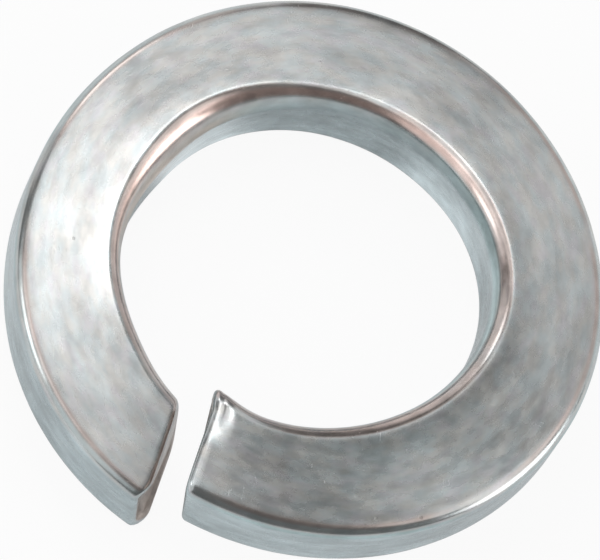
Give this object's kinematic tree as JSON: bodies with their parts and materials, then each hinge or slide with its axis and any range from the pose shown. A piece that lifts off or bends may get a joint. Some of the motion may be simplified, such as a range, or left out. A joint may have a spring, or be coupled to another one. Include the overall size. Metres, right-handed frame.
{
  "type": "spring lock washer",
  "caption": "Split spring lock washer wound from flat, round-edged, zinc-plated steel wire, cut on the slant and sprung open along its axis.",
  "frame": {"origin": "on the bore axis at mid height, halfway along the winding", "axes": "+Z along the bore axis, the cut centred on -Y, the raised end on the +X side of the cut"},
  "size_m": [0.0264, 0.0264, 0.0076],
  "materials": {
    "zinc_plated_steel": "satin bright zinc plate"
  },
  "bodies": {
    "root": {"spring_washer": "zinc_plated_steel"}
  },
  "joints": []
}
